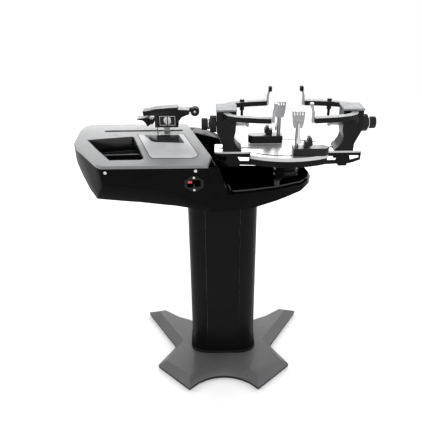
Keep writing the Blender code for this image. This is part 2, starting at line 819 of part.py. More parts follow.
def build_turntable_frame(mats):
    black = mats["frame_black"]
    long = RAIL_HALF_LENGTH
    reach = long - 0.001
    frame = box("turntable_frame", (-reach, -0.0345, 0.8280), (reach, 0.0345, 0.836 - GAP), black)
    web = [
        (-0.228, 0.8290),
        (-0.228, 0.8120),
        (-0.205, 0.8030),
        (-0.188, 0.7990),
        (-0.186, 0.7920),
        (-0.160, 0.7920),
        (-0.156, 0.7990),
        (-0.050, 0.7940),
        (0.050, 0.7940),
        (0.156, 0.7990),
        (0.160, 0.7920),
        (0.186, 0.7920),
        (0.188, 0.7990),
        (0.205, 0.8030),
        (0.228, 0.8120),
        (0.228, 0.8290),
    ]
    inner_window = [(0.122, 0.8100), (0.150, 0.8105), (0.159, 0.8265), (0.120, 0.8265)]
    outer_window = [(0.196, 0.8110), (0.222, 0.8180), (0.222, 0.8265), (0.192, 0.8265)]
    for name, low in (("front", -0.0345), ("back", 0.0295)):
        side = prism_y("frame_web_" + name, web, low, low + 0.005, black)
        join(frame, side)
    windows = (inner_window, outer_window, mirrored(inner_window), mirrored(outer_window))
    for index, window in enumerate(windows):
        cut(frame, prism_y("frame_window_%d" % index, window, -0.10, 0.10, black))
    for name, turn in (("front", 1), ("back", -1)):
        band = band_outline(0.2430, TRACK_OUTER - 0.0005, TRACK_HALF_ANGLE - 0.01, 14)
        skirt = [(x, y * turn) for x, y in band]
        join(frame, prism("frame_skirt_" + name, skirt, 0.8100, TRACK_BOTTOM - GAP, black))
    join(frame, box("frame_beam", (-0.045, -0.084, 0.8080), (0.045, 0.084, 0.8200), black))
    for side in (-1, 1):
        for turn in (-1, 1):
            low = (min(side * 0.090, side * 0.104), min(turn * 0.033, turn * 0.070), 0.8110)
            high = (max(side * 0.090, side * 0.104), max(turn * 0.033, turn * 0.070), 0.8190)
            join(frame, box("frame_rib_%d_%d" % (side, turn), low, high, black))
    join(frame, cylinder("frame_hub", (0, 0, 0.7900), (0, 0, 1), 0.040, 0.040, black, 32))
    join(frame, cylinder("frame_spindle", (0, 0, 0.7265), (0, 0, 1), 0.0140, 0.072, black, 24))


def build_rail_plate(mats):
    long = RAIL_HALF_LENGTH
    outline = rounded((-long, -RAIL_HALF_WIDTH), (long, RAIL_HALF_WIDTH), 0.004, 2)
    plate = prism("rail_plate", outline, 0.836, RAIL_TOP, mats["rail_silver"])
    for name, low, high in (("left", -0.214, -0.060), ("right", 0.060, 0.214)):
        slot = rounded((low, -0.005), (high, 0.005), 0.0049, 3)
        cut(plate, prism("rail_slot_" + name, slot, 0.80, 0.90, mats["rail_silver"]))


def build_track(mats, name):
    silver = mats["rail_silver"]
    edge = -RAIL_HALF_WIDTH - 0.0006
    angle = TRACK_HALF_ANGLE
    outer = track_arc(TRACK_OUTER, -angle, angle, 18)
    reach = outer[-1][0] - 0.004
    outline = outer + [(reach, edge), (-reach, edge)]
    track = prism(name, outline, TRACK_BOTTOM, RAIL_TOP, silver)
    half = 0.004
    slot = band_outline(TRACK_SLOT - half, TRACK_SLOT + half, angle - 0.045, 16)
    cut(track, prism(name + "_slot", slot, 0.80, 0.90, silver))


TOWER_SIDE = [
    (0.1615, 0.9692),
    (0.1625, 0.9310),
    (0.1640, 0.9050),
    (0.1690, 0.8840),
    (0.1640, 0.8660),
    (0.1540, 0.8520),
    (0.1450, 0.8460),
    (0.1450, RAIL_TOP + GAP),
    (0.2040, RAIL_TOP + GAP),
    (0.2040, 0.8620),
    (0.2130, 0.8840),
    (0.2225, 0.9050),
    (0.2225, 0.9692),
]
PIVOT = (0.192, 0.043)


def build_tower(mats, side):
    black = mats["tower_black"]
    tower = prism_y(side + "_tower", TOWER_SIDE, -0.030, 0.030, black)
    bar = rounded((0.1802, -0.0548), (0.2038, 0.0548), 0.0117, 4)
    join(tower, prism(side + "_tower_bar", bar, 0.9390, 0.9535, black))
    join(tower, box(side + "_tower_key", (0.160, -0.0046, 0.8366), (0.195, 0.0046, 0.8450), black))
    cut(tower, cylinder(side + "_tower_bore", (0.120, 0, KNOB_Z), (1, 0, 0), 0.0072, 0.15, black, 20))
    for turn in (-1, 1):
        hole_foot = (PIVOT[0], turn * PIVOT[1], 0.9440)
        hole = cylinder(side + "_tower_pivot%d" % turn, hole_foot, (0, 0, 1), 0.0040, 0.02, black, 14)
        cut(tower, hole)
    cap_outline = rounded((0.1600, -0.0365), (0.2240, 0.0365), 0.004, 2)
    steps = ((0.002, 0.9695), (0.0, 0.9715), (0.0, 0.9745), (0.0015, 0.9760))
    stepped(side + "_tower_cap", cap_outline, steps, mats["cap_silver"])
    knob = [
        (0.0070, 0.2229),
        (0.0240, 0.2229),
        (0.0262, 0.2245),
        (0.0262, 0.2415),
        (0.0240, 0.2432),
        (0.0070, 0.2432),
    ]
    lathe(side + "_arm_knob", knob, (0, 0, KNOB_Z), (1, 0, 0), 28, mats["knob_black"])
    small = [
        (0, 0.2140),
        (0.0065, 0.2140),
        (0.0065, 0.2437),
        (0.0165, 0.2437),
        (0.0165, 0.2500),
        (0.0185, 0.2510),
        (0.0185, 0.2675),
        (0.0170, 0.2690),
        (0, 0.2690),
    ]
    lathe(side + "_pad_knob", small, (0, 0, KNOB_Z), (1, 0, 0), 24, mats["knob_black"])
    pad = [
        (0, 0.1220),
        (0.0085, 0.1220),
        (0.0098, 0.1235),
        (0.0098, 0.1285),
        (0.0085, 0.1300),
        (0.0062, 0.1300),
        (0.0062, 0.2050),
        (0, 0.2050),
    ]
    lathe(side + "_inner_pad", pad, (0, 0, KNOB_Z), (1, 0, 0), 20, mats["pad_silver"])


def ribbon(path, half_width):
    """The outline of a strip of even width along a path, with a round first end."""
    left = []
    right = []
    for index, point in enumerate(path):
        before = Vector(path[max(index - 1, 0)])
        after = Vector(path[min(index + 1, len(path) - 1)])
        along = (after - before).normalized()
        across = Vector((-along.y, along.x)) * half_width
        left.append(tuple(Vector(point) + across))
        right.append(tuple(Vector(point) - across))
    first = Vector(path[0])
    start = math.atan2(left[0][1] - first.y, left[0][0] - first.x)
    cap = arc(path[0], half_width, start, start + math.pi, 6)
    return list(reversed(left[1:])) + cap + right[1:]


ARM_PATH = [(0.192, 0.043), (0.184, 0.060), (0.168, 0.071), (0.140, 0.080), (0.105, 0.087), (0.062, 0.092)]


def build_arm(mats, name, back):
    black = mats["arm_black"]
    outline = ribbon(ARM_PATH, 0.0105)
    arm = prism(name + "_arm", outline, 0.9538, 0.9690, black)
    pin_foot = (PIVOT[0], PIVOT[1], 0.9445)
    join(arm, cylinder(name + "_arm_pin", pin_foot, (0, 0, 1), 0.0036, 0.012, black, 14))
    if back:
        post = (0.140, 0.0800, 0.9210)
        join(arm, cylinder(name + "_arm_screw", post, (0, 0, 1), 0.0045, 0.040, black, 12))
        boss_foot = (post[0], post[1], 0.9420)
        join(arm, cylinder(name + "_arm_boss", boss_foot, (0, 0, 1), 0.0075, 0.0350, black, 14))
    tip = [
        (0.0604, 0.9540),
        (0.0604, 0.9850),
        (0.0580, 0.9910),
        (0.0560, 1.0000),
        (0.0560, 1.0120),
        (0.0465, 1.0120),
        (0.0465, 1.0030),
        (0.0505, 0.9970),
        (0.0540, 0.9850),
        (0.0540, 0.9540),
    ]
    prism_y(name + "_bracket", tip, 0.0845, 0.0995, mats["chrome"])


def build_clamp(mats, name):
    black = mats["clamp_black"]
    low = (0.0090, -0.0780)
    high = (0.1200, -0.0400)
    radius = 0.0188
    outline = [(low[0], high[1]), (low[0], low[1])]
    outline += arc((high[0] - radius, low[1] + radius), radius, -math.pi / 2, 0, 5)
    outline += arc((high[0] - radius, high[1] - radius), radius, 0, math.pi / 2, 5)
    steps = ((0.0, RAIL_TOP + GAP), (0.0, 0.8640), (0.0020, 0.8660))
    base = stepped(name + "_clamp_base", outline, steps, black)
    foot_x = TRACK_SLOT * math.sin(CLAMP_ANGLE)
    foot_y = TRACK_CENTRE - TRACK_SLOT * math.cos(CLAMP_ANGLE)
    up = (0, 0, 1)
    join(base, cylinder(name + "_clamp_foot", (foot_x, foot_y, 0.8240), up, 0.0036, 0.022, black, 12))
    join(base, cylinder(name + "_clamp_nut", (foot_x, foot_y, 0.8230), up, 0.0062, 0.0045, black, 12))
    post_x = 0.0215
    post_y = -0.0530
    silver = mats["chrome"]
    head_side = [
        (post_x - 0.0125, 0.9260),
        (post_x + 0.0125, 0.9260),
        (post_x + 0.0165, 0.9430),
        (post_x + 0.0180, 0.9660),
        (post_x - 0.0180, 0.9660),
        (post_x - 0.0165, 0.9430),
    ]
    head = prism_y(name + "_clamp_head", head_side, post_y - 0.0075, post_y + 0.0075, silver)
    for step in range(5):
        x = post_x - 0.0180 + step * 0.0080
        low_corner = (x, post_y - 0.0075, 0.9600)
        high_corner = (x + 0.0040, post_y + 0.0075, 0.9770)
        join(head, box(name + "_clamp_tooth%d" % step, low_corner, high_corner, silver))
    post_foot = (post_x, post_y, 0.8660 + GAP)
    join(head, cylinder(name + "_clamp_post", post_foot, (0, 0, 1), 0.0062, 0.070, silver, 18))
    pivot = (post_x + 0.001, 0.9400)
    drop = [
        (pivot[0] + 0.0045, 0.9120),
        (pivot[0] + 0.0070, 0.9340),
        (pivot[0] + 0.0070, 0.9400),
        (pivot[0] + 0.0030, 0.9430),
        (pivot[0] - 0.0030, 0.9430),
        (pivot[0] - 0.0070, 0.9400),
        (pivot[0] - 0.0070, 0.9340),
        (pivot[0] - 0.0030, 0.9120),
    ]
    bulb = arc((pivot[0] + 0.004, 0.8850), 0.0090, math.radians(150), math.radians(390), 8)
    lever_front = post_y - 0.0150
    prism_y(name + "_clamp_lever", drop + bulb, lever_front, lever_front + 0.0055, silver)
    lock_pivot = (0.0560, 0.8745)
    lock = arc(lock_pivot, 0.0080, math.pi, math.tau, 7)
    lock += [(0.0690, 0.8860), (0.0660, 0.8960), (0.0560, 0.9000), (0.0450, 0.8960), (0.0420, 0.8840)]
    prism_y(name + "_lock_lever", lock, post_y - 0.0160, post_y + 0.0060, mats["clamp_black"])


def placed(builder, flip_x, flip_y, *arguments):
    """Runs a builder that works round the turntable's own axis, then moves what it made into place."""
    before = set(bpy.data.objects)
    builder(*arguments)
    for obj in set(bpy.data.objects) - before:
        for vertex in obj.data.vertices:
            vertex.co.x = TABLE_X + flip_x * vertex.co.x
            vertex.co.y = TABLE_Y + flip_y * vertex.co.y
        if flip_x * flip_y < 0:
            obj.data.flip_normals()


def make_materials():
    table = {
        "rubber": ((0.02, 0.02, 0.02), 0.0, 0.8),
        "black_metal": ((0.03, 0.03, 0.032), 0.3, 0.45),
        "base_grey": ((0.33, 0.33, 0.34), 0.4, 0.45),
        "column_black": ((0.025, 0.025, 0.026), 0.1, 0.55),
        "steel": ((0.55, 0.55, 0.56), 1.0, 0.35),
        "hull_black": ((0.025, 0.025, 0.026), 0.0, 0.40),
        "gloss_black": ((0.008, 0.008, 0.009), 0.0, 0.12),
        "black_plastic": ((0.02, 0.02, 0.02), 0.0, 0.45),
        "red_plastic": ((0.80, 0.03, 0.02), 0.0, 0.30),
        "cover_silver": ((0.55, 0.56, 0.57), 0.4, 0.35),
        "panel_grey": ((0.62, 0.63, 0.63), 0.0, 0.15),
        "display_black": ((0.02, 0.02, 0.022), 0.0, 0.10),
        "tray_black": ((0.015, 0.015, 0.016), 0.0, 0.35),
        "board_green": ((0.03, 0.16, 0.07), 0.0, 0.50),
        "head_black": ((0.02, 0.02, 0.02), 0.1, 0.40),
        "chrome": ((0.80, 0.80, 0.81), 1.0, 0.12),
        "frame_black": ((0.015, 0.015, 0.016), 0.2, 0.35),
        "rail_silver": ((0.75, 0.75, 0.76), 0.9, 0.25),
        "tower_black": ((0.02, 0.02, 0.021), 0.1, 0.45),
        "cap_silver": ((0.65, 0.66, 0.66), 0.5, 0.30),
        "knob_black": ((0.02, 0.02, 0.02), 0.0, 0.50),
        "pad_silver": ((0.60, 0.60, 0.60), 0.6, 0.40),
        "arm_black": ((0.02, 0.02, 0.02), 0.2, 0.35),
        "clamp_black": ((0.02, 0.02, 0.02), 0.0, 0.45),
    }
    return {name: material(name, *values) for name, values in table.items()}


def main():
    clear_scene()
    mats = make_materials()
    build_base(mats)
    build_column(mats)
    build_hull(mats)
    build_front_panel(mats)
    build_cover(mats)
    build_left_tray(mats)
    build_right_tray(mats)
    build_drive(mats)
    build_tension_head(mats)
    build_spindle(mats)
    placed(build_turntable_frame, 1, 1, mats)
    placed(build_rail_plate, 1, 1, mats)
    placed(build_track, 1, 1, mats, "front_track")
    placed(build_track, -1, -1, mats, "back_track")
    for side, flip in (("left", -1), ("right", 1)):
        placed(build_tower, flip, 1, mats, side)
        placed(build_arm, flip, -1, mats, side + "_front", False)
        placed(build_arm, flip, 1, mats, side + "_back", True)
    placed(build_clamp, 1, 1, mats, "front")
    placed(build_clamp, -1, -1, mats, "back")


main()
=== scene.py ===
"""The racket stringing machine with its visible surfaces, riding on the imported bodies."""

import json
import math

import bmesh
import bpy
from mathutils import Matrix, Vector


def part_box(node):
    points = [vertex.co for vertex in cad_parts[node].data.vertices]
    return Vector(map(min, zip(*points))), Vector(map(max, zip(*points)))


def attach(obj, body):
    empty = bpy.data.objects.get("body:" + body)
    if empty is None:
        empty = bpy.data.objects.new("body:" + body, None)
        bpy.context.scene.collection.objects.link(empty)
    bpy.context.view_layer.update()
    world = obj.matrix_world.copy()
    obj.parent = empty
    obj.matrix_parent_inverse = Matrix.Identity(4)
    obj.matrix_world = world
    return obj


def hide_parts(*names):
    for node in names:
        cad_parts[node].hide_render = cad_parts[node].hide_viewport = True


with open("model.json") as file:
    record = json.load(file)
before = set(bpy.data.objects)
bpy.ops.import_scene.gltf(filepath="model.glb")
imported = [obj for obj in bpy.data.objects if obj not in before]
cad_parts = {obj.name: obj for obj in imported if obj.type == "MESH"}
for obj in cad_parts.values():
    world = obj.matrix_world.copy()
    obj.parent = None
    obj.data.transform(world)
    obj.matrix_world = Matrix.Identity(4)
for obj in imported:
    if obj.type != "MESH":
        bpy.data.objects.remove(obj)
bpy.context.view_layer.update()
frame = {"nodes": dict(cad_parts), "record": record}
NODES = frame["nodes"]
BODY_OF = {}
for body_name, members in frame["record"]["behaviour"]["bodies"].items():
    for member in members:
        BODY_OF[member] = body_name

# The turntable's axis, the height of the line that all the supports' knobs turn about, and the way
# to the front.
TABLE = Vector((0.205, -0.020, 0.0))
KNOB_Z = 0.922
FORWARD = (0, -1, 0)


# Camera, light and floor ------------------------------------------------------------------------

# The camera matches the photo, which is 422 pixels wide. Its angles are in degrees.
SENSOR_WIDTH = 36.0
PHOTO_WIDTH = 422.0
FOCAL_PIXELS = 500.0
CAMERA_SHIFT = -0.0118
CAMERA_PLACE = (-0.022, -1.515, 1.417)
CAMERA_DOWN = 28.2
CAMERA_ROLL = -0.6

WORLD_STRENGTH = 1.04
FLOOR_HALF = 40.0
# Each light's name, place, target, size and power in watts.
LIGHTS = (
    ("back_light", (0.0, 2.6, 1.95), (0.0, 0.2, 0.85), (3.0, 0.7), 36),
    ("left_light", (-2.4, 0.6, 1.5), (0.0, 0.0, 0.6), (0.6, 2.0), 12),
    ("right_light", (2.4, 0.8, 1.5), (0.2, 0.0, 0.7), (0.6, 2.0), 12),
    ("top_light", (0.1, -0.5, 3.0), (0.0, 0.0, 0.8), (1.0, 1.0), 6),
)


def make_camera():
    data = bpy.data.cameras.new("camera")
    data.sensor_width = SENSOR_WIDTH
    data.lens = FOCAL_PIXELS / PHOTO_WIDTH * SENSOR_WIDTH
    data.shift_x = CAMERA_SHIFT
    camera = bpy.data.objects.new("camera", data)
    bpy.context.scene.collection.objects.link(camera)
    tilt = Matrix.Rotation(math.radians(90.0 - CAMERA_DOWN), 4, "X")
    roll = Matrix.Rotation(math.radians(CAMERA_ROLL), 4, "Z")
    camera.matrix_world = Matrix.Translation(CAMERA_PLACE) @ tilt @ roll
    bpy.context.scene.camera = camera


def area_light(name, place, target, size, power):
    data = bpy.data.lights.new(name, "AREA")
    data.shape = "RECTANGLE"
    data.size = size[0]
    data.size_y = size[1]
    data.energy = power
    lamp = bpy.data.objects.new(name, data)
    lamp.location = place
    aim = Vector(target) - Vector(place)
    lamp.rotation_euler = aim.to_track_quat("-Z", "Y").to_euler()
    bpy.context.scene.collection.objects.link(lamp)


def make_studio():
    world = bpy.data.worlds.new("studio")
    world.use_nodes = True
    background = world.node_tree.nodes["Background"]
    background.inputs["Color"].default_value = (1.0, 1.0, 1.0, 1.0)
    background.inputs["Strength"].default_value = WORLD_STRENGTH
    bpy.context.scene.world = world
    bpy.context.scene.view_settings.view_transform = "Standard"
    for light in LIGHTS:
        area_light(*light)
    mesh = bpy.data.meshes.new("floor")
    half = FLOOR_HALF
    corners = [(-half, -half, 0), (half, -half, 0), (half, half, 0), (-half, half, 0)]
    mesh.from_pydata(corners, [], [(0, 1, 2, 3)])
    floor = bpy.data.objects.new("floor", mesh)
    bpy.context.scene.collection.objects.link(floor)
    white = (0.96, 0.96, 0.96)
    mesh.materials.append(
        surface("floor_white", white, rough=0.9, tint=0.004, scale=3.0, bump=0.0, specular=0.0)
    )


# Materials --------------------------------------------------------------------------------------

# The part of a noise's values that a ramp uses, the height of the fine grain, and the clear coat.
NOISE_LOW = 0.3
NOISE_HIGH = 0.7
GRAIN_HEIGHT = 0.0006
COAT_ROUGHNESS = 0.06
# Pointiness where wear starts and where it's full, and how much lighter a worn edge is.
WEAR_START = 0.54
WEAR_FULL = 0.62
WORN_GAIN = 2.2
WORN_LIFT = 0.05


def node(tree, kind, **values):
    made = tree.nodes.new(kind)
    for key, value in values.items():
        setattr(made, key, value)
    return made


def ramp_between(tree, source, low, high):
    """Maps the middle of a noise's values onto low to high."""
    made = node(tree, "ShaderNodeMapRange")
    made.inputs["From Min"].default_value = NOISE_LOW
    made.inputs["From Max"].default_value = NOISE_HIGH
    made.inputs["To Min"].default_value = low
    made.inputs["To Max"].default_value = high
    tree.links.new(source, made.inputs["Value"])
    return made.outputs["Result"]


def noise(tree, place, scale, detail, stretch):
    mapping = node(tree, "ShaderNodeMapping")
    mapping.inputs["Scale"].default_value = stretch
    tree.links.new(place, mapping.inputs["Vector"])
    made = node(tree, "ShaderNodeTexNoise")
    made.inputs["Scale"].default_value = scale
    made.inputs["Detail"].default_value = detail
    tree.links.new(mapping.outputs["Vector"], made.inputs["Vector"])
    return made.outputs["Fac"]


def surface(
    name,
    colour,
    metallic=0.0,
    rough=0.4,
    spread=0.06,
    tint=0.10,
    scale=35.0,
    grain=900.0,
    bump=0.04,
    stretch=(1.0, 1.0, 1.0),
    coat=0.0,
    specular=0.5,
    wear=0.0,
):
    """A finish with cloudy colour and gloss, a fine grain, and lighter edges where it has wear."""
    made = bpy.data.materials.new(name)
    made.use_nodes = True
    tree = made.node_tree
    shader = tree.nodes["Principled BSDF"]
    shader.inputs["Metallic"].default_value = metallic
    shader.inputs["Specular IOR Level"].default_value = specular
    shader.inputs["Coat Weight"].default_value = coat
    shader.inputs["Coat Roughness"].default_value = COAT_ROUGHNESS
    place = node(tree, "ShaderNodeTexCoord").outputs["Object"]
    cloud = noise(tree, place, scale, 4.0, stretch)
    fine = noise(tree, place, grain, 2.0, stretch)
    mix = node(tree, "ShaderNodeMix", data_type="RGBA")
    dark = tuple(channel * (1.0 - tint) for channel in colour)
    light = tuple(min(channel * (1.0 + tint) + 0.001, 1.0) for channel in colour)
    mix.inputs["A"].default_value = (*dark, 1.0)
    mix.inputs["B"].default_value = (*light, 1.0)
    tree.links.new(ramp_between(tree, cloud, 0.0, 1.0), mix.inputs["Factor"])
    colour_out = mix.outputs["Result"]
    if wear:
        edges = node(tree, "ShaderNodeNewGeometry").outputs["Pointiness"]
        band = node(tree, "ShaderNodeMapRange")
        band.inputs["From Min"].default_value = WEAR_START
        band.inputs["From Max"].default_value = WEAR_FULL
        band.inputs["To Max"].default_value = wear
        tree.links.new(edges, band.inputs["Value"])
        worn = node(tree, "ShaderNodeMix", data_type="RGBA")
        tree.links.new(band.outputs["Result"], worn.inputs["Factor"])
        tree.links.new(colour_out, worn.inputs["A"])
        bare = [min(channel * WORN_GAIN + WORN_LIFT, 1.0) for channel in colour]
        worn.inputs["B"].default_value = (*bare, 1.0)
        colour_out = worn.outputs["Result"]
    tree.links.new(colour_out, shader.inputs["Base Color"])
    gloss = ramp_between(tree, cloud, max(rough - spread, 0.02), min(rough + spread, 1.0))
    tree.links.new(gloss, shader.inputs["Roughness"])
    if bump:
        relief = node(tree, "ShaderNodeBump")
        relief.inputs["Strength"].default_value = bump
        relief.inputs["Distance"].default_value = GRAIN_HEIGHT
        tree.links.new(fine, relief.inputs["Height"])
        tree.links.new(relief.outputs["Normal"], shader.inputs["Normal"])
    return made


LOOKS = {
    "rubber": dict(colour=(0.010, 0.010, 0.010), rough=0.80, bump=0.20, specular=0.1),
    "black_metal": dict(colour=(0.006, 0.006, 0.0064), rough=0.42, bump=0.08, specular=0.10),
    "base_grey": dict(
        colour=(0.088, 0.088, 0.091),
        metallic=0.1,
        rough=0.38,
        spread=0.07,
        grain=1500.0,
        bump=0.22,
        scale=9.0,
        specular=0.35,
    ),
    "column_black": dict(
        colour=(0.0030, 0.0030, 0.0032),
        rough=0.32,
        grain=1600.0,
        bump=0.12,
        scale=6.0,
        specular=0.07,
    ),
    "steel": dict(
        colour=(0.48, 0.48, 0.50), metallic=1.0, rough=0.32, stretch=(0.05, 1.0, 1.0), bump=0.12
    ),
    # Painted shade: steel darkened nearly to black for the brake lever, which sits in shade under
    # the turntable.
    "shaded_steel": dict(colour=(0.016, 0.016, 0.017), metallic=0.5, rough=0.35, bump=0.12),
    "hull_black": dict(
        colour=(0.0024, 0.0024, 0.0026),
        rough=0.15,
        grain=1400.0,
        bump=0.05,
        scale=8.0,
        specular=0.04,
    ),
    "gloss_black": dict(
        colour=(0.0016, 0.0016, 0.0018),
        rough=0.09,
        spread=0.03,
        bump=0.01,
        scale=12.0,
        specular=0.05,
    ),
    "black_plastic": dict(colour=(0.006, 0.006, 0.006), rough=0.42, bump=0.14, specular=0.2),
    "red_plastic": dict(colour=(0.80, 0.022, 0.014), rough=0.22, bump=0.02, coat=0.2),
    "cover_silver": dict(
        colour=(0.170, 0.173, 0.177),
        metallic=0.15,
        rough=0.30,
        spread=0.03,
        tint=0.04,
        grain=2600.0,
        bump=0.10,
        scale=6.0,
        coat=0.15,
    ),
    "panel_grey": dict(
        colour=(0.46, 0.465, 0.47), rough=0.20, spread=0.03, tint=0.03, bump=0.01, coat=0.15
    ),
    "display_black": dict(colour=(0.020, 0.021, 0.023), rough=0.14, bump=0.01, specular=0.3),
    "tray_black": dict(
        colour=(0.0030, 0.0030, 0.0034), rough=0.12, bump=0.05, scale=10.0, specular=0.5
    ),
    # Painted highlight: the tray's raised tool outlines are lighter than the tray's own black, for
    # the light that catches them.
    "tray_mark_highlight": dict(colour=(0.0300, 0.0300, 0.0305), rough=0.30, bump=0.05, specular=0.5),
    "board_green": dict(colour=(0.02, 0.12, 0.05), rough=0.5, bump=0.2),
    "head_black": dict(
        colour=(0.0042, 0.0042, 0.0045), rough=0.24, bump=0.06, specular=0.16, wear=0.3
    ),
    "chrome": dict(
        colour=(0.66, 0.66, 0.67),
        metallic=1.0,
        rough=0.18,
        spread=0.06,
        tint=0.06,
        grain=700.0,
        bump=0.05,
    ),
    "cast_silver": dict(
        colour=(0.34, 0.34, 0.35),
        metallic=0.9,
        rough=0.30,
        spread=0.06,
        grain=800.0,
        bump=0.2,
        scale=90.0,
    ),
    "frame_black": dict(colour=(0.0038, 0.0038, 0.0042), rough=0.18, bump=0.05, specular=0.10),
    "rail_silver": dict(
        colour=(0.55, 0.55, 0.56),
        metallic=0.8,
        rough=0.34,
        spread=0.05,
        tint=0.03,
        stretch=(0.04, 1.0, 1.0),
        grain=1300.0,
        bump=0.05,
    ),
    "tower_black": dict(
        colour=(0.0042, 0.0042, 0.0044),
        rough=0.30,
        grain=1100.0,
        bump=0.14,
        scale=18.0,
        specular=0.16,
    ),
    "cap_silver": dict(
        colour=(0.215, 0.22, 0.224), rough=0.42, tint=0.04, bump=0.012, specular=0.25
    ),
    "knob_black": dict(
        colour=(0.0055, 0.0055, 0.0058), rough=0.36, bump=0.12, specular=0.22, wear=0.2
    ),
    "pad_silver": dict(colour=(0.34, 0.34, 0.35), metallic=0.8, rough=0.36, bump=0.06),
    "arm_black": dict(colour=(0.0042, 0.0042, 0.0045), rough=0.22, bump=0.05, specular=0.15),
    # Painted highlight: a light grey laid on the upward faces of the black arms, the tongue lever
    # and the lock levers' crests, standing for the light they reflect.
    "painted_top_sheen": dict(colour=(0.215, 0.22, 0.224), rough=0.40, tint=0.04, bump=0.012, specular=0.30),
    # Painted highlight: a lighter grey for the upward faces of the black clamp bases, standing for
    # the light on their tops.
    "clamp_top_sheen": dict(
        colour=(0.050, 0.050, 0.052), rough=0.32, grain=1300.0, bump=0.08, specular=0.5
    ),
    "clamp_black": dict(
        colour=(0.0060, 0.0060, 0.0064), rough=0.30, grain=1300.0, bump=0.10, specular=0.22
    ),
}
MATS = {name: surface(name, **look) for name, look in LOOKS.items()}


# Geometry helpers -------------------------------------------------------------------------------

# Angles are in degrees: the least that gets a rounded edge, those that stay sharp in the shading,
# and the most between triangles of one flat face.
ROUNDED_ANGLE = 28.0
SHARP_ANGLE = 50.0
TURNED_SHARP_ANGLE = 32.0
FLAT_ANGLE = 0.8
SAME_AREA = 0.0005
SAME_POINT = 0.00001
LEAST_RADIUS = 0.00002


def sharpen(obj, width, segments=3, flat=True):
    """Rounds the sharp edges and shades the rest smooth, with flat large faces where asked."""
    if width:
        bevel = obj.modifiers.new("edges", "BEVEL")
        bevel.limit_method = "ANGLE"
        bevel.angle_limit = math.radians(ROUNDED_ANGLE)
        bevel.width = width
        bevel.segments = segments
        bevel.use_clamp_overlap = True
        bevel.miter_outer = "MITER_ARC"
    if flat:
        weighted = obj.modifiers.new("normals", "WEIGHTED_NORMAL")
        weighted.keep_sharp = True
    for polygon in obj.data.polygons:
        polygon.use_smooth = True
    obj.data.set_sharp_from_angle(angle=math.radians(SHARP_ANGLE))


def link(name, mesh, body, mat, replaced=()):
    obj = bpy.data.objects.new(name, mesh)
    bpy.context.scene.collection.objects.link(obj)
    mesh.materials.clear()
    mesh.materials.append(MATS[mat])
    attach(obj, body)
    if replaced:
        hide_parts(*replaced)
    return obj


def whole_faces(shape):
    """Merges coplanar triangles. It's false if the area changed, as a ring can't be one face."""
    before = sum(face.calc_area() for face in shape.faces)
    angle = math.radians(FLAT_ANGLE)
    bmesh.ops.dissolve_limit(shape, angle_limit=angle, verts=shape.verts, edges=shape.edges)
    after = sum(face.calc_area() for face in shape.faces)
    return abs(after - before) < before * SAME_AREA


def refined(
    name,
    mat,
    width=0.001,
    segments=3,
    sheen_mat=None,
    where=None,
    flat=True,
    lift=0.0,
    merged=True,
):
    """A copy of a CAD node with rounded edges and a finish, and a painted highlight on the faces
    that a test picks, where asked.
    """
    for merge in (merged, False):
        shape = bmesh.new()
        shape.from_mesh(NODES[name].data)
        bmesh.ops.remove_doubles(shape, verts=shape.verts, dist=SAME_POINT)
        if not merge or whole_faces(shape):
            break
        shape.free()
    bmesh.ops.recalc_face_normals(shape, faces=shape.faces)
    bmesh.ops.translate(shape, verts=shape.verts, vec=(0.0, 0.0, lift))
    mesh = bpy.data.meshes.new(name + "_finish")
    shape.to_mesh(mesh)
    shape.free()
    obj = link(name + "_finish", mesh, BODY_OF[name], mat, (name,))
    if sheen_mat:
        mesh.materials.append(MATS[sheen_mat])
        for polygon in mesh.polygons:
            polygon.material_index = int(where(polygon.center, polygon.normal))
    sharpen(obj, width, segments, flat=flat)


def sheen_tops_above(level):
    """A test for faces that look up and lie above a level: the faces that get a painted highlight.
    """
    return lambda centre, normal: normal.z > 0.75 and centre.z > level


def mesh_from(name, points, faces):
    shape = bmesh.new()
    corners = [shape.verts.new(point) for point in points]
    for face in faces:
        shape.faces.new([corners[index] for index in face])
    bmesh.ops.recalc_face_normals(shape, faces=shape.faces)
    mesh = bpy.data.meshes.new(name)
    shape.to_mesh(mesh)
    shape.free()
    return mesh


def rings_mesh(name, rings):
    """A closed skin over rings that all have the same number of points."""
    count = len(rings[0])
    points = [point for ring in rings for point in ring]
    faces = [list(range(count)), list(range(len(points) - count, len(points)))]
    for step in range(len(rings) - 1):
        for index in range(count):
            following = (index + 1) % count
            low = step * count
            high = low + count
            faces.append([low + index, low + following, high + following, high + index])
    return mesh_from(name, points, faces)


def turned(
    name,
    profile,
    centre,
    axis,
    body,
    mat,
    segments,
    ribs=0,
    depth=0.0,
    replaced=(),
    ribbed=(),
):
    """A turned piece. Rings whose index is in ribbed carry grooves round the rim."""
    turn = Vector((0, 0, 1)).rotation_difference(Vector(axis)).to_matrix()
    start = Vector(centre)
    rings = []
    for index, (radius, along) in enumerate(profile):
        ring = []
        for step in range(segments):
            angle = math.tau * step / segments
            reach = max(radius, LEAST_RADIUS)
            if index in ribbed:
                reach -= depth * (0.5 + 0.5 * math.cos(angle * ribs)) ** 2
            offset = Vector((reach * math.cos(angle), reach * math.sin(angle), along))
            ring.append(tuple(start + turn @ offset))
        rings.append(ring)
    obj = link(name, rings_mesh(name, rings), body, mat, replaced)
    for polygon in obj.data.polygons:
        polygon.use_smooth = True
    obj.data.set_sharp_from_angle(angle=math.radians(TURNED_SHARP_ANGLE))


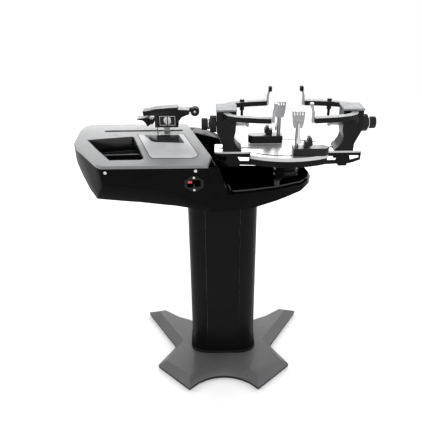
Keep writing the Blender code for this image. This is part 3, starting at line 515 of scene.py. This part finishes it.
def dome(name, place, radius, body):
    """A chrome screw head that faces forward: a dome with a round recess."""
    rise = radius * 0.55
    profile = [
        (radius, 0.0),
        (radius, rise * 0.25),
        (radius * 0.92, rise * 0.55),
        (radius * 0.72, rise * 0.82),
        (radius * 0.45, rise),
        (radius * 0.30, rise * 0.98),
        (radius * 0.26, rise * 0.55),
        (0.0, rise * 0.55),
    ]
    turned(name, profile, place, FORWARD, body, "chrome", 28)


def block(name, low, high, body, mat, width=0.0006):
    rings = []
    for z in (low[2], high[2]):
        near = [(low[0], low[1], z), (high[0], low[1], z)]
        far = [(high[0], high[1], z), (low[0], high[1], z)]
        rings.append(near + far)
    obj = link(name, rings_mesh(name, rings), body, mat)
    sharpen(obj, width)


def drop_lever(end, turn):
    """The polished lever of a clamp: a slim stem, with a drop-shaped foot that leans outwards."""
    sides = 32
    stem_x = 0.0225
    stem_y = -0.0653
    most_depth = 0.0032
    # Each row is a height, half the width there, and how far it leans out.
    outline = (
        (0.8762, 0.0006, 0.0034),
        (0.8775, 0.0046, 0.0033),
        (0.8805, 0.0072, 0.0031),
        (0.8850, 0.0082, 0.0029),
        (0.8900, 0.0078, 0.0026),
        (0.8960, 0.0058, 0.0021),
        (0.9040, 0.0043, 0.0014),
        (0.9200, 0.0038, 0.0005),
        (0.9360, 0.0044, 0.0),
        (0.9410, 0.0036, 0.0),
        (0.9432, 0.0012, 0.0),
    )
    rings = []
    for level, half, lean in outline:
        depth = min(half * 0.75, most_depth)
        ring = []
        for step in range(sides):
            angle = math.tau * step / sides
            x = stem_x + lean + half * math.cos(angle)
            y = stem_y + depth * math.sin(angle)
            ring.append((TABLE.x + turn * x, TABLE.y + turn * y, level))
        rings.append(ring)
    name = end + "_clamp_lever"
    mesh = rings_mesh(name + "_finish", rings)
    obj = link(name + "_finish", mesh, end + "_lever", "chrome", (name,))
    sharpen(obj, 0.0, flat=False)


def lock_lever(end, turn):
    """The black wedge that locks a clamp to its track, with a painted highlight strip in light
    grey over the top of its outer end.
    """
    wedge = (
        (0.0425, 0.8670),
        (0.0420, 0.8860),
        (0.0440, 0.8868),
        (0.0470, 0.8845),
        (0.0510, 0.8850),
        (0.0545, 0.8935),
        (0.0575, 0.8950),
        (0.0635, 0.8905),
        (0.0675, 0.8830),
        (0.0688, 0.8775),
        (0.0660, 0.8722),
        (0.0615, 0.8690),
        (0.0560, 0.8670),
    )
    crest = (
        (0.0525, 0.8950),
        (0.0545, 0.8995),
        (0.0590, 0.8998),
        (0.0640, 0.8965),
        (0.0682, 0.8895),
        (0.0690, 0.8790),
        (0.0660, 0.8800),
        (0.0650, 0.8865),
        (0.0615, 0.8925),
        (0.0575, 0.8955),
        (0.0550, 0.8940),
    )
    name = end + "_lock_lever"
    for suffix, outline, near, far, mat, edge in (
        ("_finish", wedge, -0.0690, -0.0475, "clamp_black", 0.0022),
        # This strip is a painted highlight over the wedge's top.
        ("_crest_sheen", crest, -0.0600, -0.0470, "painted_top_sheen", 0.0010),
    ):
        rings = []
        for y in (near, far):
            rings.append([(TABLE.x + turn * x, TABLE.y + turn * y, z) for x, z in outline])
        replaced = (name,) if suffix == "_finish" else ()
        mesh = rings_mesh(name + suffix, rings)
        obj = link(name + suffix, mesh, end + "_lock", mat, replaced)
        sharpen(obj, edge, 4)


def panel_gap_shade():
    """A dark band round the control panel, made from the panel's own outline: painted shade for
    the gap between the panel and the cover.
    """
    reach = 0.0028
    slope = 0.105
    lift = 0.00045
    mesh = NODES["control_panel"].data.copy()
    low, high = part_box("control_panel")
    middle = (low + high) / 2.0
    grow_x = 1.0 + reach / (middle.x - low.x)
    grow_y = 1.0 + reach / (middle.y - low.y)
    for vertex in mesh.vertices:
        shift_x = (vertex.co.x - middle.x) * (grow_x - 1.0)
        shift_y = (vertex.co.y - middle.y) * (grow_y - 1.0)
        vertex.co += Vector((shift_x, shift_y, shift_y * slope + lift))
    link("panel_gap_shade", mesh, "stand", "black_plastic")


# The stand and the head -------------------------------------------------------------------------

refined("base_mat", "rubber", 0.0)
refined("base_plate", "black_metal", 0.0)
# Its rim is a ring, so its triangles aren't merged.
refined("base_cover", "base_grey", 0.0016, 4, merged=False)
refined("column_gasket", "rubber", 0.0018, 4)
for part in ("front_panel", "rear_panel", "left_shell", "right_shell"):
    refined("column_" + part, "column_black", 0.0008)
refined("hull", "hull_black", 0.0035, 4, flat=False)
refined("front_panel", "gloss_black", 0.0008)
refined("top_cover", "cover_silver", 0.0014, 3)
refined("control_panel", "panel_grey", 0.0008, lift=0.0006)
refined("display_window", "display_black", 0.0003, lift=0.0008)
# Painted shade: a dark band standing for the shaded gap round the panel.
panel_gap_shade()
refined("left_tray", "tray_black", 0.0012, 3)
refined("turntable_tray", "tray_black", 0.0014, 3)
refined("power_inlet", "black_plastic", 0.0006)
refined("rocker_switch", "red_plastic", 0.0008)
refined("spindle_housing", "black_metal", 0.0008)
# The brake lever's near-black steel is painted shade.
refined("brake_lever", "shaded_steel", 0.0008)
for part in ("lead_screw", "power_supply", "column_core"):
    refined(part, "steel", 0.0)
for part in ("guide_rail", "tension_motor"):
    refined(part, "black_metal", 0.0)
refined("control_board", "board_green", 0.0)

PANEL_SCREWS = ((-0.349, 0.820), (-0.081, 0.8235))
PANEL_SCREW_RADIUS = 0.0052
INLET_SCREWS = ((-0.0865, 0.763), (-0.0865, 0.803))
INLET_SCREW_RADIUS = 0.0040
FRONT_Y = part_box("front_panel")[0].y
for index, (x, z) in enumerate(PANEL_SCREWS):
    dome("panel_screw_%d" % index, (x, FRONT_Y, z), PANEL_SCREW_RADIUS, "stand")
FLANGE_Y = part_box("power_inlet")[0].y
for index, (x, z) in enumerate(INLET_SCREWS):
    dome("inlet_screw_%d" % index, (x, FLANGE_Y, z), INLET_SCREW_RADIUS, "stand")

# The tension head -------------------------------------------------------------------------------

# The well's corners are x and z, and its depths are behind the gripper's front face.
WELL_LOW = (-0.2008, 0.8942)
WELL_HIGH = (-0.1532, 0.9218)
WELL_DEPTHS = (0.0020, 0.0090)
ROLLER_AXIS = (-0.087, 0.935)
ROLLER_BOLT_RADIUS = 0.0048
ROLLER_BOLT_SUNK = 0.0002
TONGUE_TOP = 0.910

refined("carriage", "steel", 0.0006)
refined("tension_head", "head_black", 0.0016, 3)
refined("string_gripper", "chrome", 0.0003, 2)
GRIP_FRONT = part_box("string_gripper")[0].y
block(
    "gripper_well",
    (WELL_LOW[0], GRIP_FRONT + WELL_DEPTHS[0], WELL_LOW[1]),
    (WELL_HIGH[0], GRIP_FRONT + WELL_DEPTHS[1], WELL_HIGH[1]),
    "tension_carriage",
    "head_black",
    0.0004,
)
# The tongue lever's upward faces carry a painted highlight in light grey.
refined("tongue_lever", "head_black", 0.0012, 3, "painted_top_sheen", sheen_tops_above(TONGUE_TOP))
refined("guide_roller", "head_black", 0.0006)
ROLLER_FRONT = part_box("guide_roller")[0].y
dome(
    "roller_bolt",
    (ROLLER_AXIS[0], ROLLER_FRONT + ROLLER_BOLT_SUNK, ROLLER_AXIS[1]),
    ROLLER_BOLT_RADIUS,
    "tension_carriage",
)

# The turntable ----------------------------------------------------------------------------------

# Each point of a knob's profile is a radius, and how far out it is from the turntable's axis.
BIG_KNOB = (
    (0.0070, 0.2229),
    (0.0235, 0.2229),
    (0.0252, 0.2236),
    (0.0262, 0.2250),
    (0.0262, 0.2330),
    (0.0262, 0.2410),
    (0.0252, 0.2424),
    (0.0235, 0.2432),
    (0.0180, 0.2432),
    (0.0176, 0.2426),
    (0.0070, 0.2426),
)
SMALL_KNOB = (
    (0.0165, 0.2510),
    (0.0175, 0.2512),
    (0.0185, 0.2522),
    (0.0185, 0.2600),
    (0.0185, 0.2672),
    (0.0175, 0.2684),
    (0.0160, 0.2690),
    (0.0120, 0.2690),
    (0.0116, 0.2684),
    (0.0, 0.2684),
)
KNOB_COLLAR = (
    (0.0, 0.2140),
    (0.0064, 0.2140),
    (0.0064, 0.2437),
    (0.0150, 0.2437),
    (0.0158, 0.2445),
    (0.0158, 0.2511),
    (0.0, 0.2511),
)
KNOB_RING = (
    (0.0159, 0.2462),
    (0.0168, 0.2462),
    (0.0172, 0.2468),
    (0.0172, 0.2482),
    (0.0168, 0.2488),
    (0.0159, 0.2488),
)
# The profile, the sides, the number and depth of the grooves, and the rings that carry them.
KNOBS = (
    ("arm", "big", BIG_KNOB, 144, 24, 0.0014, (3, 4, 5)),
    ("pad", "small", SMALL_KNOB, 120, 20, 0.0011, (2, 3, 4)),
)
COLLAR_SIDES = 48
# The rubber pad of a back bracket, measured from the turntable's axis.
PAD_NEAR = 0.0450
PAD_FAR = 0.0555
PAD_Y = 0.092
PAD_HALF = 0.0080
PAD_LOW = 0.9985
PAD_HIGH = 1.0125
# Above these heights the upward faces of the arms and of the clamp bases get a painted highlight,
# a lighter colour for the light that falls on their tops.
ARM_TOP = 0.966
CLAMP_TOP = 0.864

refined("turntable_frame", "frame_black", 0.0010)
refined("rail_plate", "rail_silver", 0.0008)
refined("front_track", "rail_silver", 0.0012)
refined("back_track", "rail_silver", 0.0012)

for side, flip in (("left", -1.0), ("right", 1.0)):
    centre = (TABLE.x, TABLE.y, KNOB_Z)
    axis = (flip, 0, 0)
    refined(side + "_tower", "tower_black", 0.0060, 5)
    refined(side + "_tower_cap", "cap_silver", 0.0012)
    refined(side + "_inner_pad", "pad_silver", 0.0004)
    for use, size, profile, sides, ribs, depth, ribbed in KNOBS:
        turned(
            side + "_" + use + "_knob_finish",
            profile,
            centre,
            axis,
            side + "_" + size + "_knob",
            "knob_black",
            sides,
            ribs,
            depth,
            (side + "_" + use + "_knob",),
            ribbed,
        )
    inner = side + "_small_knob"
    turned(side + "_knob_collar", KNOB_COLLAR, centre, axis, inner, "knob_black", COLLAR_SIDES)
    turned(side + "_knob_ring", KNOB_RING, centre, axis, inner, "chrome", COLLAR_SIDES)
    for end in ("front", "back"):
        name = side + "_" + end
        # The arms' upward faces carry a painted highlight in light grey.
        refined(name + "_arm", "arm_black", 0.0014, 3, "painted_top_sheen", sheen_tops_above(ARM_TOP))
        refined(name + "_bracket", "cast_silver", 0.0010)
    pad_low, pad_high = sorted((TABLE.x + flip * PAD_NEAR, TABLE.x + flip * PAD_FAR))
    pad_y = TABLE.y + PAD_Y
    block(
        side + "_back_bracket_pad",
        (pad_low, pad_y - PAD_HALF, PAD_LOW),
        (pad_high, pad_y + PAD_HALF, PAD_HIGH),
        side + "_back_arm_body",
        "rubber",
    )

for end, turn in (("front", 1.0), ("back", -1.0)):
    # The clamp bases' upward faces carry a painted highlight.
    refined(end + "_clamp_base", "clamp_black", 0.0030, 4, "clamp_top_sheen", sheen_tops_above(CLAMP_TOP))
    refined(end + "_clamp_head", "cast_silver", 0.0008)
    drop_lever(end, turn)
    lock_lever(end, turn)

# The raised bars on the floor of the right tray, lighter than the tray as a painted highlight: x,
# y, length and width.
TOOL_MARKS = (
    (0.105, -0.078, 0.046, 0.0045),
    (0.068, -0.078, 0.030, 0.0075),
    (0.110, -0.060, 0.052, 0.0040),
)
TOOL_FLOOR = 0.7462
MARK_HEIGHT = 0.0016
for index, (x, y, long, wide) in enumerate(TOOL_MARKS):
    low = (x - long / 2.0, y - wide / 2.0, TOOL_FLOOR)
    high = (x + long / 2.0, y + wide / 2.0, TOOL_FLOOR + MARK_HEIGHT)
    block("tray_tool_mark_%d" % index, low, high, "stand", "tray_mark_highlight", 0.0007)

make_camera()
make_studio()
